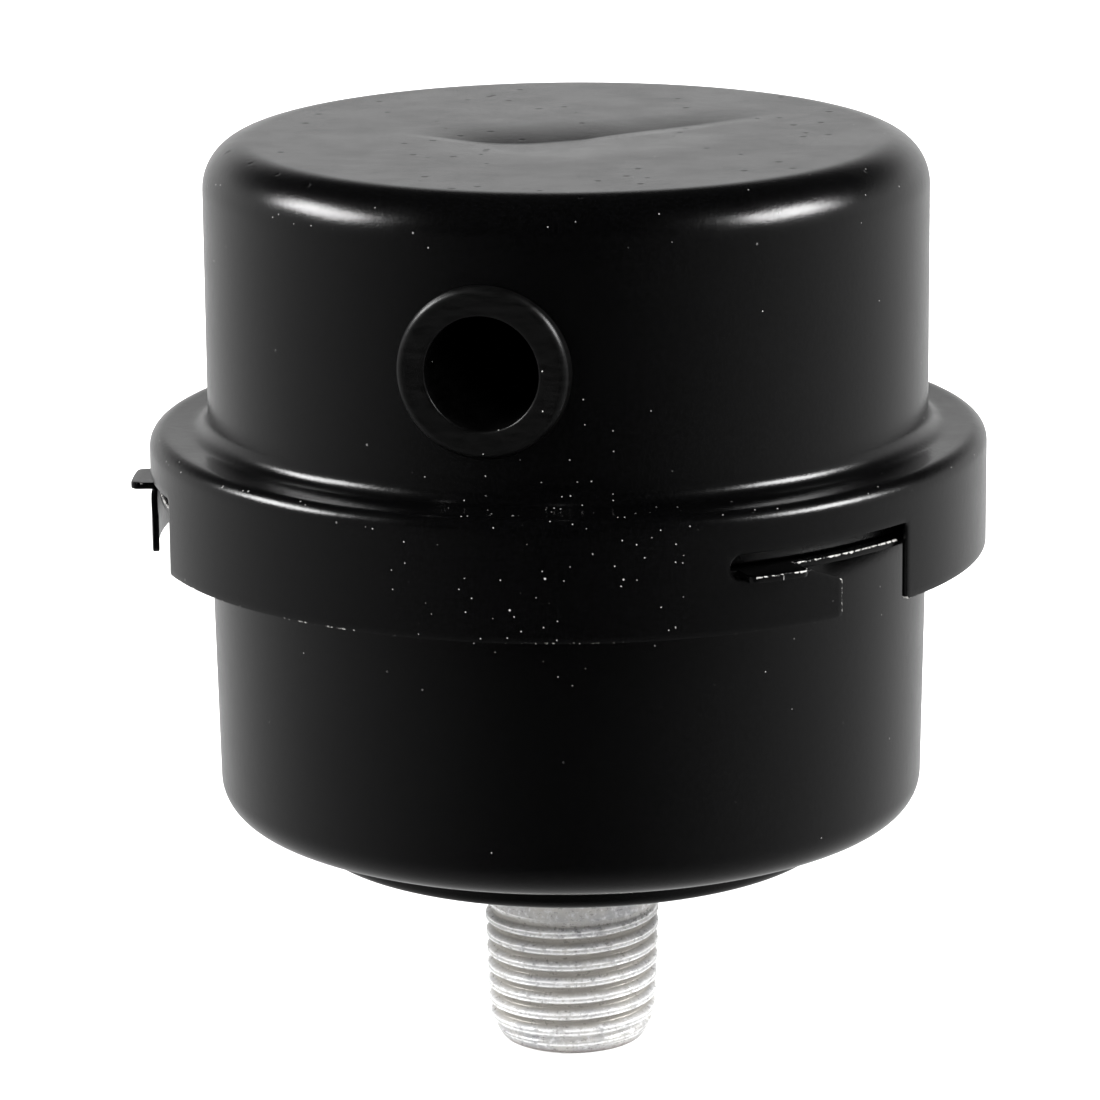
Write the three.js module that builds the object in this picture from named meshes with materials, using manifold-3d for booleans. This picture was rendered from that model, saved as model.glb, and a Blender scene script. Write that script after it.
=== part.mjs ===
// Intake silencer-filter for a small air compressor: a twist-lock cover on a cup with a threaded stub.
// Units are millimetres. +Z is up, the origin is on the axis at the stub's lower end; the inlet faces -Y.
// Angles are in degrees round +Z, counted from the inlet's side (-Y) towards +X.
import * as THREE from "three";
import { mergeVertices } from "three/addons/utils/BufferGeometryUtils.js";
import Module from "manifold-3d";

// Sheet metal
const SHEET = 0.5; // thickness of the drawn steel
const ROUND_STEPS = 64; // facets round the big shells
const INNER_STEPS = 48; // facets round the filter pack
const SMALL_STEPS = 28; // facets round the stub and the bushing
const ARC_TOLERANCE = 0.06; // how far a facet may stray from its arc in an outline
const FIT_GAP = 0.05; // between pieces stacked on each other

// Heights above the stub's lower end
const STEP_UNDERSIDE = 16.5;
const STEP_HEIGHT = 2.15;
const SKIRT_BOTTOM = 40.0;
const FLANGE_TOP = 49.0;
const CAN_TOP = 71.0;
const OVERHANG = 2; // how far a cutter runs past what it cuts

// Cover
const CAN_R = 27.35;
const CAN_CORNER_R = 3.6;
const FLANGE_FILLET_R = 1.3;
const SKIRT_R = 31.8;
const SKIRT_CORNER_R = 1.2;

// Bayonet: J-shaped slots in the skirt, and lugs on the base that stand in them
const BAYONET_COUNT = 3;
const SLOT_CLOSED_END = 33.7;
const LIP_END = 50.8;
const CUTOUT_END = 63.3;
const LIP_HEIGHT = 3.95;
const LIP_LEAD_IN_LENGTH = 2.8;
const LIP_LEAD_IN_DROP = 0.95;
const SLOT_TOP_HEIGHT = 5.8;
const CUTOUT_CORNER_R = 0.4;
const LUG_START = 35.3;
const LUG_END = 43.6;
const LUG_REACH_R = 33.4;
const LUG_CORNER_R = 0.6;

// Base cup
const CUP_TOP_R = 27.35;
const CUP_LOW_R = 26.95;
const CUP_CORNER_R = 2.7;
const CUP_BOTTOM_SLOPE = 6.2; // degrees
const RIM_TOP = SKIRT_BOTTOM + 4.5;
const RIM_R = 31.1;
const RIM_BEND_R = 1.2;
const STEP_R = 20.45;
const STEP_CORNER_R = 0.7;
const STUB_HOLE_R = 7.05;

// Inlet bushing
const INLET_Z = 58.65;
const INLET_FACE_R = 6.3;
const INLET_BORE_R = 4.15;
const INLET_TUBE_R = 5.2;
const INLET_HOLE_R = 5.35;
const INLET_PROUD = 0.8;
const INLET_RIM_ROUND = 0.6;
const INLET_TUBE_LENGTH = 12;
const INLET_BEAD_R = 5.75;
const INLET_BEAD_START = 2.6; // behind the face, clear of the can's inner wall
const INLET_BEAD_LENGTH = 1.4;
const INLET_WALL_GAP = 0.1;

// Threaded stub: a 1/4 inch taper pipe thread
const THREAD_PITCH = 1.337;
const THREAD_CREST_R = 6.4; // at the lower end
const THREAD_TAPER = 1 / 32; // radius per length
const THREAD_DEPTH = 0.82;
const THREAD_TOP = 11.0;
const THREAD_START = 0.12; // how far round the thread starts, in turns
const STUB_SHANK_R = 6.5; // plain, above the thread
const STUB_BORE_R = 4.0;
const STUB_END_R = 5.35;
const STUB_END_CHAMFER = 2.2;
const STUB_SHOULDER_R = 8.6;
const STUB_SHOULDER_THICKNESS = 1.2;
const STUB_NECK_R = 6.95;
const STUB_SWAGE_R = 8.6;
const STUB_SWAGE_THICKNESS = 0.9;
const WASHER_R = 12;
const WASHER_THICKNESS = 1.0;

// Filter pack
const PACK_R = 30.0;
const DISH_R = 25.6;
const DISH_DEPTH = 10;
const DISH_BEND_R = 1.0;
const PAD_R = 24.8;
const PAD_EDGE = 0.8;
const GASKET_INNER_R = 28.0;
const HOLE_R = 2.0;
const HOLE_SIDES = 8;
const HOLE_PITCH = 6.8;
const HOLE_FIELD_R = 22.5;

const wasm = await Module();
wasm.setup();

const radians = THREE.MathUtils.degToRad;

// ---- Solids -------------------------------------------------------------------------------------------

function toSolid(geometry) {
  const bare = geometry.clone();
  bare.deleteAttribute("normal");
  bare.deleteAttribute("uv");
  const merged = mergeVertices(bare, 1e-4);
  return new wasm.Manifold(
    new wasm.Mesh({
      numProp: 3,
      vertProperties: new Float32Array(merged.attributes.position.array),
      triVerts: new Uint32Array(merged.index.array),
    }),
  );
}

function toGeometry(solid) {
  const mesh = solid.getMesh();
  const geometry = new THREE.BufferGeometry();
  geometry.setAttribute("position", new THREE.BufferAttribute(mesh.vertProperties, 3));
  geometry.setIndex(new THREE.BufferAttribute(mesh.triVerts, 1));
  geometry.computeVertexNormals();
  return geometry;
}

// Turns a closed outline of (radius, height) points round the Z axis.
function turned(points, steps) {
  const inwards = THREE.ShapeUtils.area(points) < 0;
  const outline = inwards ? [...points].reverse() : [...points];
  return toSolid(new THREE.LatheGeometry(outline, steps).rotateX(Math.PI / 2));
}

// The closed outline of a rectangle section, from radius inner to outer and height low to high.
function ringOutline(inner, outer, low, high) {
  return [
    new THREE.Vector2(inner, low),
    new THREE.Vector2(outer, low),
    new THREE.Vector2(outer, high),
    new THREE.Vector2(inner, high),
    new THREE.Vector2(inner, low),
  ];
}

// Moves each point of an open outline sideways by a distance, to the right of its direction of travel.
function offsetPoints(points, distance) {
  const sides = points.slice(1).map((point, i) => {
    const along = point.clone().sub(points[i]).normalize();
    return new THREE.Vector2(along.y, -along.x);
  });
  return points.map((point, i) => {
    const before = sides[Math.max(i - 1, 0)];
    const after = sides[Math.min(i, sides.length - 1)];
    const mitre = before.clone().add(after).normalize();
    return point.clone().addScaledVector(mitre, distance / mitre.dot(after));
  });
}

// The closed outline of a sheet whose outer side is an open outline.
function sheetOutline(outer, thickness) {
  const inner = offsetPoints(outer, thickness).reverse();
  return [...outer, ...inner, outer[0].clone()];
}

// Samples a path, its arcs within the tolerance, and drops points that repeat.
function pathPoints(path) {
  const points = path.curves.flatMap((curve) => {
    if (!curve.isEllipseCurve) return curve.getPoints(1);
    const facetAngle = 2 * Math.acos(1 - ARC_TOLERANCE / curve.xRadius);
    return curve.getPoints(Math.ceil(Math.abs(curve.aEndAngle - curve.aStartAngle) / facetAngle));
  });
  return points.filter((point, i) => i === 0 || point.distanceTo(points[i - 1]) > 1e-6);
}

// A prism whose outline is drawn in the plane that touches the skirt at an angle: x runs round towards
// higher angles, y is the height, and the prism runs through the skirt's wall.
function skirtPrism(shape, angle, depth) {
  const prism = new THREE.ExtrudeGeometry(shape, { depth, bevelEnabled: false, curveSegments: 6 });
  prism.rotateX(Math.PI / 2).translate(0, -SKIRT_R + depth / 2, 0).rotateZ(radians(angle));
  return toSolid(prism);
}

// ---- Cover --------------------------------------------------------------------------------------------

function coverShell() {
  const path = new THREE.Path();
  path.moveTo(0, CAN_TOP);
  path.lineTo(CAN_R - CAN_CORNER_R, CAN_TOP);
  path.absarc(CAN_R - CAN_CORNER_R, CAN_TOP - CAN_CORNER_R, CAN_CORNER_R, Math.PI / 2, 0, true);
  const filletR = CAN_R + FLANGE_FILLET_R;
  path.absarc(filletR, FLANGE_TOP + FLANGE_FILLET_R, FLANGE_FILLET_R, Math.PI, 1.5 * Math.PI, false);
  const cornerR = SKIRT_R - SKIRT_CORNER_R;
  path.absarc(cornerR, FLANGE_TOP - SKIRT_CORNER_R, SKIRT_CORNER_R, Math.PI / 2, 0, true);
  path.lineTo(SKIRT_R, SKIRT_BOTTOM);
  const outer = pathPoints(path);
  const inner = offsetPoints(outer, SHEET).reverse();
  return turned([...outer, ...inner], ROUND_STEPS);
}

// Where an angle falls on the plane that touches the skirt at the middle angle.
function alongSkirt(angle, middle) {
  return SKIRT_R * Math.sin(radians(angle - middle));
}

function bayonetSlot(turn) {
  const middle = (SLOT_CLOSED_END + CUTOUT_END) / 2;
  const closedX = alongSkirt(SLOT_CLOSED_END, middle);
  const lipX = alongSkirt(LIP_END, middle);
  const farX = alongSkirt(CUTOUT_END, middle);
  const low = SKIRT_BOTTOM + LIP_HEIGHT;
  const high = SKIRT_BOTTOM + SLOT_TOP_HEIGHT;
  const endR = (high - low) / 2;
  const shape = new THREE.Shape();
  shape.moveTo(farX, SKIRT_BOTTOM - OVERHANG);
  shape.lineTo(farX, high - CUTOUT_CORNER_R);
  shape.absarc(farX - CUTOUT_CORNER_R, high - CUTOUT_CORNER_R, CUTOUT_CORNER_R, 0, Math.PI / 2, false);
  shape.absarc(closedX + endR, low + endR, endR, Math.PI / 2, 1.5 * Math.PI, false);
  shape.lineTo(lipX - LIP_LEAD_IN_LENGTH, low);
  shape.lineTo(lipX, low - LIP_LEAD_IN_DROP);
  shape.lineTo(lipX, SKIRT_BOTTOM - OVERHANG);
  return skirtPrism(shape, middle + turn, 2 * OVERHANG);
}

function cover() {
  let solid = coverShell();
  for (let i = 0; i < BAYONET_COUNT; i++) solid = solid.subtract(bayonetSlot((360 / BAYONET_COUNT) * i));
  const hole = new THREE.CylinderGeometry(INLET_HOLE_R, INLET_HOLE_R, CAN_R, SMALL_STEPS);
  return solid.subtract(toSolid(hole.translate(0, -CAN_R, INLET_Z)));
}

// ---- Inlet bushing ------------------------------------------------------------------------------------

// Turned about its own axis with the face at height 0, then laid along -Y and cut to sit on the can.
function inletBushing() {
  const beadEnd = INLET_BEAD_START + INLET_BEAD_LENGTH;
  const path = new THREE.Path();
  path.moveTo(INLET_BORE_R, 0);
  path.lineTo(INLET_FACE_R - INLET_RIM_ROUND, 0);
  path.absarc(INLET_FACE_R - INLET_RIM_ROUND, -INLET_RIM_ROUND, INLET_RIM_ROUND, Math.PI / 2, 0, true);
  path.lineTo(INLET_FACE_R, -INLET_BEAD_START + INLET_WALL_GAP);
  path.lineTo(INLET_TUBE_R, -INLET_BEAD_START + INLET_WALL_GAP);
  path.lineTo(INLET_TUBE_R, -INLET_TUBE_LENGTH);
  path.lineTo(INLET_BORE_R, -INLET_TUBE_LENGTH);
  path.closePath();
  const faceY = -CAN_R - INLET_PROUD;
  const lay = (solid) => {
    const geometry = toGeometry(solid);
    return toSolid(geometry.rotateX(Math.PI / 2).translate(0, faceY, INLET_Z));
  };
  const blank = lay(turned(pathPoints(path), SMALL_STEPS));
  const sleeve = lay(
    turned(ringOutline(INLET_BORE_R, INLET_TUBE_R, -INLET_TUBE_LENGTH, -INLET_RIM_ROUND), SMALL_STEPS),
  );
  const bead = lay(
    turned(ringOutline(INLET_BORE_R, INLET_BEAD_R, -beadEnd, -INLET_BEAD_START), SMALL_STEPS),
  );
  const canOutside = turned(ringOutline(0, CAN_R + INLET_WALL_GAP, INLET_Z - 10, INLET_Z + 10), ROUND_STEPS);
  return blank.subtract(canOutside).add(sleeve).add(bead);
}

// ---- Base cup -----------------------------------------------------------------------------------------

function baseShell() {
  const slope = radians(CUP_BOTTOM_SLOPE);
  const stepTop = STEP_UNDERSIDE + STEP_HEIGHT;
  const cornerR = CUP_LOW_R - CUP_CORNER_R;
  const cornerEndR = cornerR + CUP_CORNER_R * Math.sin(slope);
  const cornerEndZ = stepTop + (cornerEndR - STEP_R) * Math.tan(slope);
  const path = new THREE.Path();
  path.moveTo(STUB_HOLE_R, STEP_UNDERSIDE);
  path.lineTo(STEP_R - STEP_CORNER_R, STEP_UNDERSIDE);
  path.absarc(
    STEP_R - STEP_CORNER_R,
    STEP_UNDERSIDE + STEP_CORNER_R,
    STEP_CORNER_R,
    1.5 * Math.PI,
    2 * Math.PI,
    false,
  );
  const stepBendZ = stepTop - STEP_CORNER_R;
  path.absarc(STEP_R + STEP_CORNER_R, stepBendZ, STEP_CORNER_R, Math.PI, Math.PI / 2 + slope, true);
  path.absarc(
    cornerR,
    cornerEndZ + CUP_CORNER_R * Math.cos(slope),
    CUP_CORNER_R,
    1.5 * Math.PI + slope,
    2 * Math.PI,
    false,
  );
  const bendR = RIM_BEND_R - SHEET;
  path.lineTo(CUP_TOP_R, RIM_TOP - SHEET - bendR);
  path.absarc(CUP_TOP_R + bendR, RIM_TOP - SHEET - bendR, bendR, Math.PI, Math.PI / 2, true);
  path.lineTo(RIM_R, RIM_TOP - SHEET);
  return turned(sheetOutline(pathPoints(path), -SHEET), ROUND_STEPS);
}

// A lug: a tab that reaches straight out from the rim, with rounded outer corners.
function lug(turn) {
  const steps = 6;
  const inner = RIM_R - OVERHANG;
  const middle = (LUG_START + LUG_END) / 2;
  const halfSpan = (LUG_END - LUG_START) / 2;
  const cornerSpan = THREE.MathUtils.radToDeg(LUG_CORNER_R / LUG_REACH_R);
  const side = [[inner, halfSpan]];
  for (let i = 0; i <= steps; i++) {
    const a = (Math.PI / 2) * (i / steps);
    side.push([LUG_REACH_R - LUG_CORNER_R * (1 - Math.sin(a)), halfSpan - cornerSpan * (1 - Math.cos(a))]);
  }
  const otherSide = side.map(([radius, angle]) => [radius, -angle]).reverse();
  const shape = new THREE.Shape(
    [...side, ...otherSide].map(([radius, angle]) => {
      const a = radians(middle + angle + turn);
      return new THREE.Vector2(radius * Math.sin(a), -radius * Math.cos(a));
    }),
  );
  const blank = new THREE.ExtrudeGeometry(shape, { depth: SHEET, bevelEnabled: false });
  return toSolid(blank.translate(0, 0, RIM_TOP - SHEET));
}

function baseCup() {
  let solid = baseShell();
  for (let i = 0; i < BAYONET_COUNT; i++) solid = solid.add(lug((360 / BAYONET_COUNT) * i));
  return solid;
}

// ---- Threaded stub ------------------------------------------------------------------------------------

// An over-long screw. Its rows of points follow the helix, so row m at the end of a turn is row m + 4 at
// its start, and each end is closed by a fan from a point on the axis.
function screw(low, high) {
  const profile = [
    { along: 0.0, out: 0 },
    { along: 0.14, out: 0 },
    { along: 0.5, out: 1 },
    { along: 0.64, out: 1 },
  ];
  const perPitch = profile.length;
  const rows = perPitch * Math.ceil((high - low) / THREAD_PITCH + 2) + 1;
  const start = low - (1 + THREAD_START) * THREAD_PITCH;
  const vertices = [];
  const corner = (row, step) => {
    const lap = Math.floor(step / SMALL_STEPS);
    return (row + lap * perPitch) * SMALL_STEPS + (step % SMALL_STEPS);
  };
  for (let row = 0; row < rows + perPitch; row++) {
    const { along, out } = profile[row % perPitch];
    for (let step = 0; step < SMALL_STEPS; step++) {
      const turn = step / SMALL_STEPS;
      const z = start + THREAD_PITCH * (Math.floor(row / perPitch) + along + turn);
      const radius = THREAD_CREST_R + THREAD_TAPER * z - THREAD_DEPTH * (1 - out);
      vertices.push(radius * Math.sin(turn * 2 * Math.PI), -radius * Math.cos(turn * 2 * Math.PI), z);
    }
  }
  const last = rows - 1;
  const bottom = vertices.length / 3;
  vertices.push(0, 0, start - THREAD_PITCH);
  vertices.push(0, 0, start + THREAD_PITCH * (last / perPitch + 3));
  const triangles = [];
  for (let row = 0; row < last; row++)
    for (let step = 0; step < SMALL_STEPS; step++) {
      const a = corner(row, step);
      const b = corner(row, step + 1);
      const c = corner(row + 1, step + 1);
      const d = corner(row + 1, step);
      triangles.push(a, b, c, a, c, d);
    }
  for (let step = 0; step < SMALL_STEPS; step++) {
    triangles.push(corner(0, step + 1), corner(0, step), bottom);
    triangles.push(corner(last, step), corner(last, step + 1), bottom + 1);
  }
  for (let row = 0; row < perPitch; row++) {
    triangles.push(corner(row, 0), corner(row + 1, 0), bottom);
    triangles.push(corner(last + row + 1, 0), corner(last + row, 0), bottom + 1);
  }
  const geometry = new THREE.BufferGeometry();
  geometry.setAttribute("position", new THREE.Float32BufferAttribute(vertices, 3));
  geometry.setIndex(triangles);
  return toSolid(geometry);
}

function threadedStub() {
  const chamferTopR = THREAD_CREST_R + THREAD_TAPER * STUB_END_CHAMFER;
  const topR = THREAD_CREST_R + THREAD_TAPER * THREAD_TOP;
  const envelope = turned(
    [
      new THREE.Vector2(0, 0),
      new THREE.Vector2(STUB_END_R, 0),
      new THREE.Vector2(STUB_END_R + 0.6 * (chamferTopR - STUB_END_R), 0.35 * STUB_END_CHAMFER),
      new THREE.Vector2(chamferTopR, STUB_END_CHAMFER),
      new THREE.Vector2(topR + OVERHANG, THREAD_TOP),
      new THREE.Vector2(0, THREAD_TOP),
    ],
    SMALL_STEPS,
  );
  const shoulderLow = STEP_UNDERSIDE - FIT_GAP - STUB_SHOULDER_THICKNESS;
  const swageLow = STEP_UNDERSIDE + SHEET + WASHER_THICKNESS + 3 * FIT_GAP;
  const swageTop = swageLow + STUB_SWAGE_THICKNESS;
  const head = turned(
    [
      new THREE.Vector2(0, THREAD_TOP - 1),
      new THREE.Vector2(STUB_SHANK_R - 0.3, THREAD_TOP - 1),
      new THREE.Vector2(STUB_SHANK_R, THREAD_TOP - 0.4),
      new THREE.Vector2(STUB_SHANK_R, shoulderLow),
      new THREE.Vector2(STUB_SHOULDER_R - 0.3, shoulderLow),
      new THREE.Vector2(STUB_SHOULDER_R, shoulderLow + 0.3),
      new THREE.Vector2(STUB_SHOULDER_R, STEP_UNDERSIDE - FIT_GAP),
      new THREE.Vector2(STUB_NECK_R, STEP_UNDERSIDE - FIT_GAP),
      new THREE.Vector2(STUB_NECK_R, swageLow),
      new THREE.Vector2(STUB_SWAGE_R, swageLow),
      new THREE.Vector2(STUB_SWAGE_R - 0.2, swageLow + 0.5 * STUB_SWAGE_THICKNESS),
      new THREE.Vector2(STUB_NECK_R, swageTop),
      new THREE.Vector2(0, swageTop),
    ],
    SMALL_STEPS,
  );
  const bore = turned(ringOutline(0, STUB_BORE_R, -OVERHANG, swageTop + OVERHANG), SMALL_STEPS);
  const thread = screw(0, THREAD_TOP).intersect(envelope);
  return thread.add(head).subtract(bore);
}

function backingWasher() {
  const low = STEP_UNDERSIDE + SHEET + FIT_GAP;
  return turned(ringOutline(STUB_HOLE_R, WASHER_R, low, low + WASHER_THICKNESS), SMALL_STEPS);
}

// ---- Filter pack --------------------------------------------------------------------------------------

// From the top down: cover, upper screen, rim of the lower screen, gasket, rim of the base cup.
const UPPER_SCREEN_LOW = FLANGE_TOP - 2 * SHEET - 2 * FIT_GAP;
const DISH_RIM_LOW = UPPER_SCREEN_LOW - FIT_GAP - SHEET;
const DISH_FLOOR = DISH_RIM_LOW - DISH_DEPTH;
const GASKET_LOW = RIM_TOP + FIT_GAP;
const GASKET_TOP = DISH_RIM_LOW - FIT_GAP;

// Punches a triangular grid of round holes through a plate that lies at a height.
function perforated(solid, height) {
  let result = solid;
  const rowPitch = (HOLE_PITCH * Math.sqrt(3)) / 2;
  const reach = Math.ceil(HOLE_FIELD_R / rowPitch);
  for (let row = -reach; row <= reach; row++)
    for (let column = -reach; column <= reach; column++) {
      const x = HOLE_PITCH * (column + (row % 2 ? 0.5 : 0));
      const y = rowPitch * row;
      if (Math.hypot(x, y) > HOLE_FIELD_R) continue;
      const punch = new THREE.CylinderGeometry(HOLE_R, HOLE_R, 3 * SHEET, HOLE_SIDES);
      result = result.subtract(toSolid(punch.rotateX(Math.PI / 2).translate(x, y, height)));
    }
  return result;
}

function upperScreen() {
  const disc = turned(ringOutline(0, PACK_R, UPPER_SCREEN_LOW, UPPER_SCREEN_LOW + SHEET), INNER_STEPS);
  return perforated(disc, UPPER_SCREEN_LOW + SHEET / 2);
}

function lowerScreen() {
  const path = new THREE.Path();
  const floorR = DISH_R - DISH_BEND_R;
  path.moveTo(0, DISH_FLOOR);
  path.lineTo(floorR, DISH_FLOOR);
  path.absarc(floorR, DISH_FLOOR + DISH_BEND_R, DISH_BEND_R, 1.5 * Math.PI, 2 * Math.PI, false);
  path.absarc(DISH_R + DISH_BEND_R, DISH_RIM_LOW - DISH_BEND_R, DISH_BEND_R, Math.PI, Math.PI / 2, true);
  path.lineTo(PACK_R, DISH_RIM_LOW);
  const outer = pathPoints(path);
  const inner = offsetPoints(outer, -SHEET).reverse();
  return perforated(turned([...outer, ...inner], INNER_STEPS), DISH_FLOOR + SHEET / 2);
}

function filterPad() {
  const low = DISH_FLOOR + SHEET + FIT_GAP;
  const high = UPPER_SCREEN_LOW - FIT_GAP;
  const outline = [
    new THREE.Vector2(0, low),
    new THREE.Vector2(PAD_R - PAD_EDGE, low),
    new THREE.Vector2(PAD_R, low + PAD_EDGE),
    new THREE.Vector2(PAD_R, high - PAD_EDGE),
    new THREE.Vector2(PAD_R - PAD_EDGE, high),
    new THREE.Vector2(0, high),
  ];
  return turned(outline, INNER_STEPS);
}

function rimGasket() {
  return turned(ringOutline(GASKET_INNER_R, PACK_R, GASKET_LOW, GASKET_TOP), INNER_STEPS);
}

// ---- Assembly -----------------------------------------------------------------------------------------

const finishes = {
  enamel: { color: 0x0b0b0c, roughness: 0.28, metalness: 0.0 },
  plastic: { color: 0x111112, roughness: 0.5, metalness: 0.0 },
  castAluminium: { color: 0xc9cbcc, roughness: 0.35, metalness: 1.0 },
  zincSteel: { color: 0xb6b8ba, roughness: 0.35, metalness: 1.0 },
  rubber: { color: 0x17171a, roughness: 0.75, metalness: 0.0 },
  foam: { color: 0xd9d6cb, roughness: 0.95, metalness: 0.0 },
};

function piece(name, solid, finish) {
  const mesh = new THREE.Mesh(toGeometry(solid), new THREE.MeshStandardMaterial(finish));
  mesh.name = name;
  return mesh;
}

const coverGroup = new THREE.Group();
coverGroup.add(piece("cover", cover(), finishes.enamel));
coverGroup.add(piece("inlet_bushing", inletBushing(), finishes.plastic));

const baseGroup = new THREE.Group();
baseGroup.add(piece("base_cup", baseCup(), finishes.enamel));
baseGroup.add(piece("threaded_stub", threadedStub(), finishes.castAluminium));
baseGroup.add(piece("backing_washer", backingWasher(), finishes.zincSteel));

const filterGroup = new THREE.Group();
filterGroup.add(piece("lower_screen", lowerScreen(), finishes.zincSteel));
filterGroup.add(piece("filter_pad", filterPad(), finishes.foam));
filterGroup.add(piece("upper_screen", upperScreen(), finishes.zincSteel));
filterGroup.add(piece("rim_gasket", rimGasket(), finishes.rubber));

const muffler = new THREE.Group();
muffler.add(coverGroup, baseGroup, filterGroup);

export default muffler;
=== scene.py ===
"""Looks of the twist-lock intake muffler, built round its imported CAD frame. The named dimensions are in
millimetres, and MM turns them into Blender's metres."""

import math

import bmesh
import bpy
from mathutils import Matrix, Vector, noise
from mathutils.geometry import delaunay_2d_cdt


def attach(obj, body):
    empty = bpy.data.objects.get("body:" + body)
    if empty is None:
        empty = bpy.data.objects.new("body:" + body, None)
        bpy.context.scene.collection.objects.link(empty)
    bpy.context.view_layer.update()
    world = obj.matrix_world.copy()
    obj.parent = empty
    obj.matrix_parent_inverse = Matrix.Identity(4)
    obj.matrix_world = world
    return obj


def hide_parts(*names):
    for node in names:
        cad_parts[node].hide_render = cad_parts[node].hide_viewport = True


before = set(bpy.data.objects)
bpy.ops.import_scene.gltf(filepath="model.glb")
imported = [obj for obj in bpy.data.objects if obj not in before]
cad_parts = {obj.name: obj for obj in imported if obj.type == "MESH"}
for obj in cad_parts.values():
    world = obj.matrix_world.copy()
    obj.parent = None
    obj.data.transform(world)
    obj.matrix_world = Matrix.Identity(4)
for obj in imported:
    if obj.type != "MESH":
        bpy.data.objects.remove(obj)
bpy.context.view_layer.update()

MM = 0.001

# Heights above the stub's end, radii and other sizes, those of the CAD model unless a comment says otherwise
SHEET = 0.5
FIT_GAP = 0.05  # between pieces stacked on each other
CAN_R = 27.35
CAN_CORNER_R = 3.6
CAN_TOP = 71.0
FLANGE_TOP = 49.0
FLANGE_FILLET_R = 1.3
FLANGE_DISH = 0.08  # how much lower the flange lies at its fillet than at its edge; flat in the CAD model
SKIRT_R = 31.8
SKIRT_CORNER_R = 1.2
SKIRT_BOTTOM = 40.0
SLOT_CLOSED_END = 33.7  # starts and ends of the slots and lugs are in degrees from the inlet's side
LIP_END = 50.8
CUTOUT_END = 63.3
LIP_HEIGHT = 3.95  # above the skirt's bottom, as is the slot's top
LIP_LEAD_IN_LENGTH = 2.8
LIP_LEAD_IN_DROP = 0.95
SLOT_TOP_HEIGHT = 5.8
CUTOUT_CORNER_R = 0.4
LUG_START = 35.3
LUG_END = 43.6
LUG_REACH_R = 33.4
LUG_CORNER_R = 0.6
LUG_CORNER = math.degrees(LUG_CORNER_R / LUG_REACH_R)  # how far round a lug's corner reaches
BAYONET_COUNT = 3
CUP_TOP_R = 27.35
CUP_LOW_R = 26.95
CUP_CORNER_R = 2.7
CUP_BOTTOM_SLOPE = math.radians(6.2)
RIM_TOP = SKIRT_BOTTOM + 4.5
RIM_R = 31.1
RIM_BEND_R = 0.7  # on the cup's outer side
STEP_UNDERSIDE = 16.5
STEP_HEIGHT = 2.15  # above the step's underside
STEP_R = 20.45
STEP_CORNER_R = 0.7
STUB_HOLE_R = 7.05
INLET_Z = 58.65
INLET_PROUD = 0.8
INLET_FACE_R = 6.3
INLET_BORE_R = 4.15
INLET_HOLE_R = 5.35
INLET_TUBE_R = 5.2
INLET_TUBE_LENGTH = 12.0
THREAD_PITCH = 1.337
THREAD_CREST_R = 6.4
THREAD_TAPER = 1 / 32
THREAD_DEPTH = 0.5  # as cast, shallower than in the CAD model
THREAD_TOP = 11.0
SHANK_R = 6.5
STUB_BORE_R = 4.0
STUB_END_R = 5.35
STUB_END_CHAMFER = 2.2
STUB_SHOULDER_R = 8.6
STUB_SHOULDER_THICKNESS = 1.2
STUB_NECK_R = 6.95
WASHER_R = 12.0
WASHER_THICKNESS = 1.0

PHOTO_AZIMUTH = math.radians(12.6)  # the camera stands this far round from the inlet's side, towards +X
TURN_STEPS = 360  # columns round the big shells
DEGREE = math.pi / 180


# ---- Mesh helpers --------------------------------------------------------------------------------------


def polar(radius, angle, height):
    """A point from millimetres and an angle counted from -Y towards +X."""
    return Vector((radius * math.sin(angle), -radius * math.cos(angle), height)) * MM


def arc(centre, radius, start, end, steps):
    """Points of an arc in (radius, height), angles in degrees, both ends included."""
    turns = [math.radians(start + (end - start) * i / steps) for i in range(steps + 1)]
    return [(centre[0] + radius * math.cos(t), centre[1] + radius * math.sin(t)) for t in turns]


def run(start, end, step):
    """Points from start to end about a step apart, the end left out."""
    count = max(1, round(math.dist(start, end) / step))
    return [
        tuple(a + (b - a) * i / count for a, b in zip(start, end))
        for i in range(count)
    ]


def object_from(name, vertices, faces, merge=True):
    mesh = bpy.data.meshes.new(name)
    mesh.from_pydata([tuple(v) for v in vertices], [], faces)
    if merge:
        bm = bmesh.new()
        bm.from_mesh(mesh)
        bmesh.ops.remove_doubles(bm, verts=bm.verts, dist=1e-7)
        bmesh.ops.recalc_face_normals(bm, faces=bm.faces)
        bm.to_mesh(mesh)
        bm.free()
    piece = bpy.data.objects.new(name, mesh)
    bpy.context.scene.collection.objects.link(piece)
    return piece


def turned_grid(rows, closed):
    """Faces between rows of points that each go once round. closed joins the last row to the first."""
    columns = len(rows[0])
    vertices = [point for row in rows for point in row]
    faces = []
    for i in range(len(rows) if closed else len(rows) - 1):
        low, high = i * columns, (i + 1) % len(rows) * columns
        for j in range(columns):
            k = (j + 1) % columns
            faces.append((low + j, low + k, high + k, high + j))
    return vertices, faces


def apply_modifiers(piece, sharp_angle):
    """Bakes the modifiers into the mesh and smooths it, with edges sharp beyond the angle."""
    graph = bpy.context.evaluated_depsgraph_get()
    mesh = bpy.data.meshes.new_from_object(piece.evaluated_get(graph))
    piece.modifiers.clear()
    piece.data = mesh
    mesh.name = piece.name
    mesh.shade_smooth()
    mesh.set_sharp_from_angle(angle=math.radians(sharp_angle))
    return piece


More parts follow.
